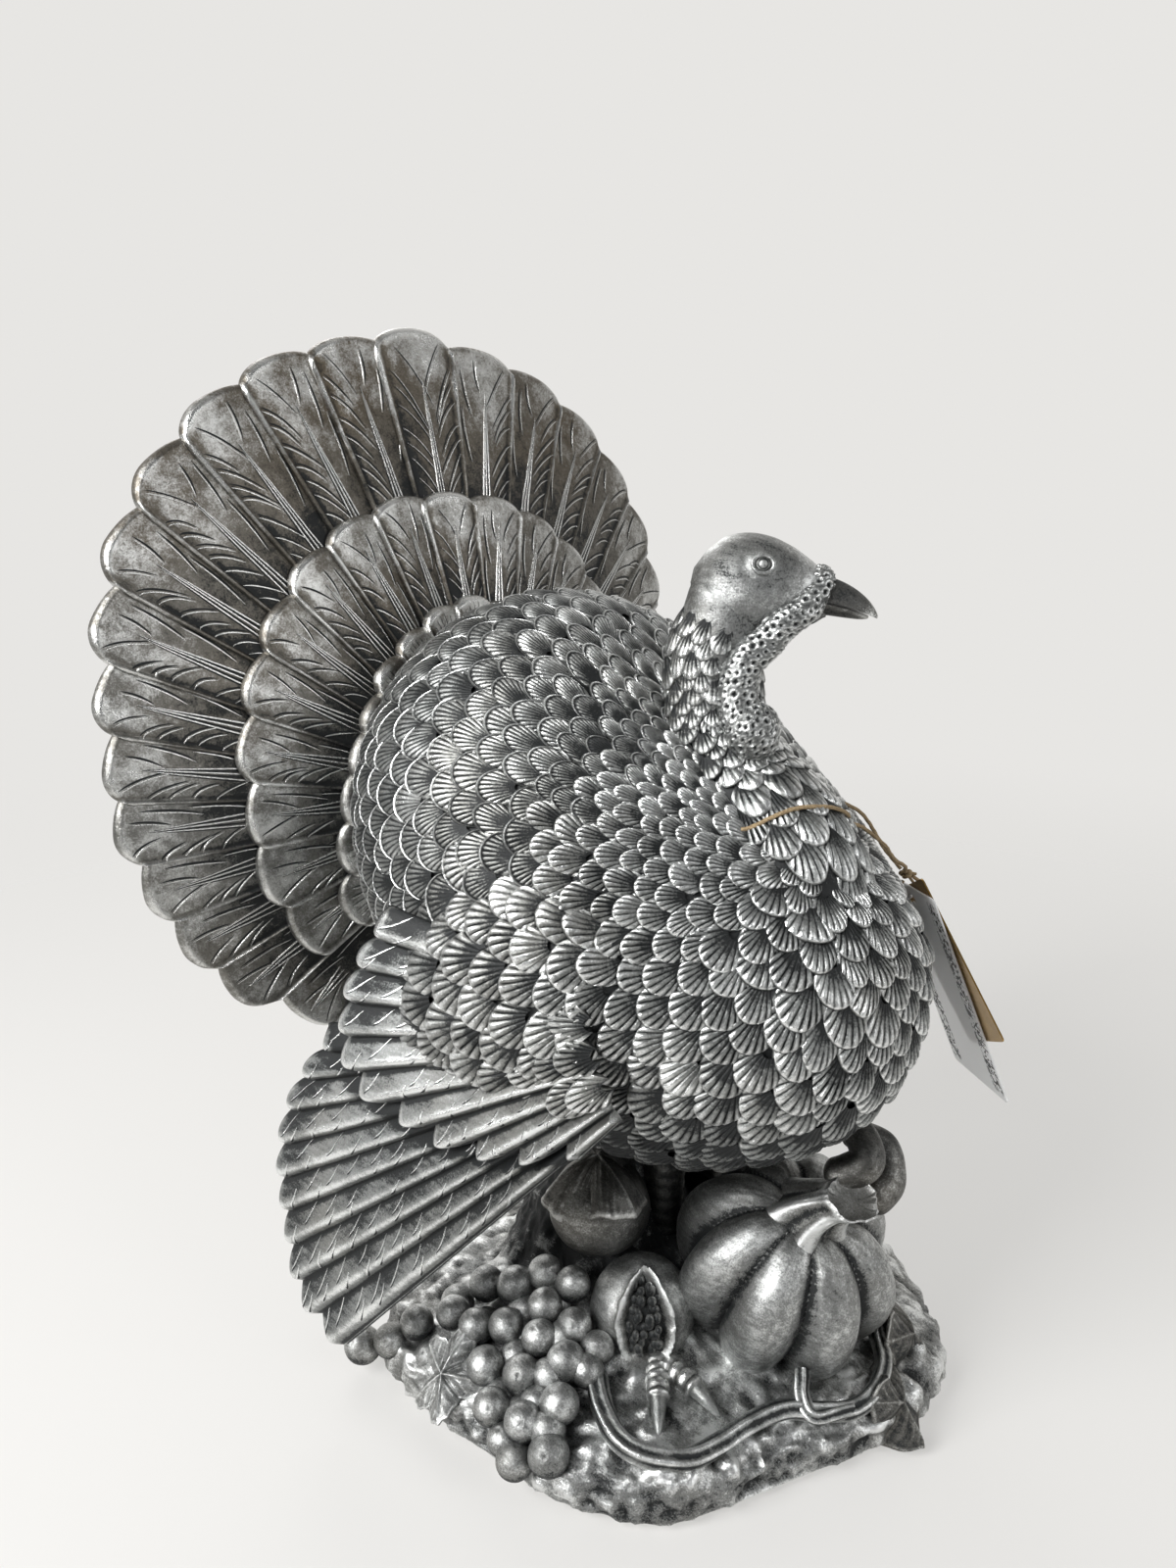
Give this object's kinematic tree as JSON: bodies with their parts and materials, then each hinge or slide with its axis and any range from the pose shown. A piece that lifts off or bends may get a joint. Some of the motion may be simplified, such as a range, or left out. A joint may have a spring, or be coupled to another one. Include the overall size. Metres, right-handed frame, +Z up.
{
  "type": "thanksgiving turkey figure",
  "caption": "Free-standing displaying turkey in antiqued silver resin on a rock base with pumpkin, fruit, grapes and gourds, with paper tags on a twine round its neck.",
  "frame": {"origin": "centre of the figure's footprint box, on the surface it stands on, measured without the twine and tags", "axes": "+Z up, -Y the way the turkey's breast faces, +X its left side"},
  "size_m": [0.311, 0.2646, 0.413],
  "materials": {
    "antique_silver": "antiqued silver paint over cast resin, dark wash in the hollows",
    "dark_silver": "silver paint under a heavy charcoal wash",
    "rock_silver": "rough rock texture, silver paint with a charcoal wash",
    "felt": "black felt",
    "jute": "natural jute twine",
    "white_card": "white card with a plain black leaf border",
    "gold_card": "gold-brown card, satin"
  },
  "bodies": {
    "figure": {"body": "antique_silver", "head": "antique_silver", "neck": "antique_silver", "upper_beak": "dark_silver", "lower_beak": "dark_silver", "wattle": "antique_silver", "right_eye": "antique_silver", "left_eye": "antique_silver", "tail_feathers_outer": "antique_silver", "tail_feathers_middle": "antique_silver", "tail_feathers_inner": "antique_silver", "tail_coverts_back": "antique_silver", "right_wing_shoulder": "antique_silver", "right_wing_coverts": "antique_silver", "right_wing_primaries": "antique_silver", "left_wing_shoulder": "antique_silver", "left_wing_coverts": "antique_silver", "left_wing_primaries": "antique_silver", "rock_base": "rock_silver", "felt_base": "felt", "pumpkin": "antique_silver", "pumpkin_stem": "antique_silver", "pomegranate": "antique_silver", "pomegranate_seeds": "antique_silver", "apple": "dark_silver", "right_foot": "antique_silver", "right_leg": "antique_silver", "left_leg": "antique_silver", "grape_bunch": "antique_silver", "lower_gourd": "dark_silver", "upper_gourd": "dark_silver", "vine": "antique_silver", "apple_leaf": "dark_silver", "grape_leaf": "antique_silver", "curled_leaf_1": "antique_silver", "curled_leaf_2": "antique_silver", "twine": "jute", "tag_loop": "jute", "twine_knot": "jute"},
    "white_hang_tag": {"white_tag": "white_card"},
    "gold_hang_tag": {"gold_tag": "gold_card"}
  },
  "joints": [
    {"name": "white_tag_swing", "type": "hinge", "parent": "figure", "child": "white_hang_tag", "pos_m": [0.07204, -0.08581, 0.191], "axis": [-0.6011, -0.7932, 0.0976], "range_deg": [0, 25]},
    {"name": "gold_tag_swing", "type": "hinge", "parent": "figure", "child": "gold_hang_tag", "pos_m": [0.07204, -0.08581, 0.191], "axis": [-0.6011, -0.7932, 0.0976], "range_deg": [0, 25]}
  ],
  "couplings": [
    {"joint": "gold_tag_swing", "follows": "white_tag_swing", "ratio": 1}
  ]
}
